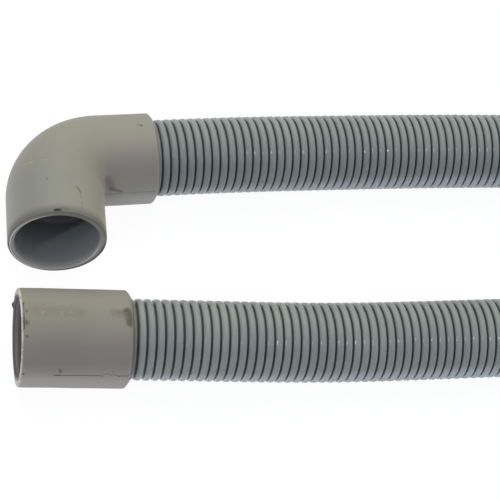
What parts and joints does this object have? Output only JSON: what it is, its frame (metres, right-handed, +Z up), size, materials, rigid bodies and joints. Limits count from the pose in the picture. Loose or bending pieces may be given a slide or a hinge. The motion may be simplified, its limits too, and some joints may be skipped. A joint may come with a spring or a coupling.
{
  "type": "washing machine drain hose",
  "caption": "Corrugated grey drain hose lying in a loop, with a right-angled rubber cuff on one end and a straight rubber cuff on the other.",
  "frame": {"origin": "on the floor, under the middle of the two cuffs' common box", "axes": "+X from the cuffs along the hose's two runs towards the loop, +Y from the straight cuff towards the elbow cuff, +Z up"},
  "size_m": [0.6875, 0.2292, 0.034],
  "materials": {
    "cuff_rubber": "warm grey moulded rubber, satin, a little grubby",
    "hose_plastic": "cool grey corrugated polypropylene, satin"
  },
  "bodies": {
    "root": {"elbow_cuff": "cuff_rubber", "drain_hose": "hose_plastic", "straight_cuff": "cuff_rubber"}
  },
  "joints": []
}
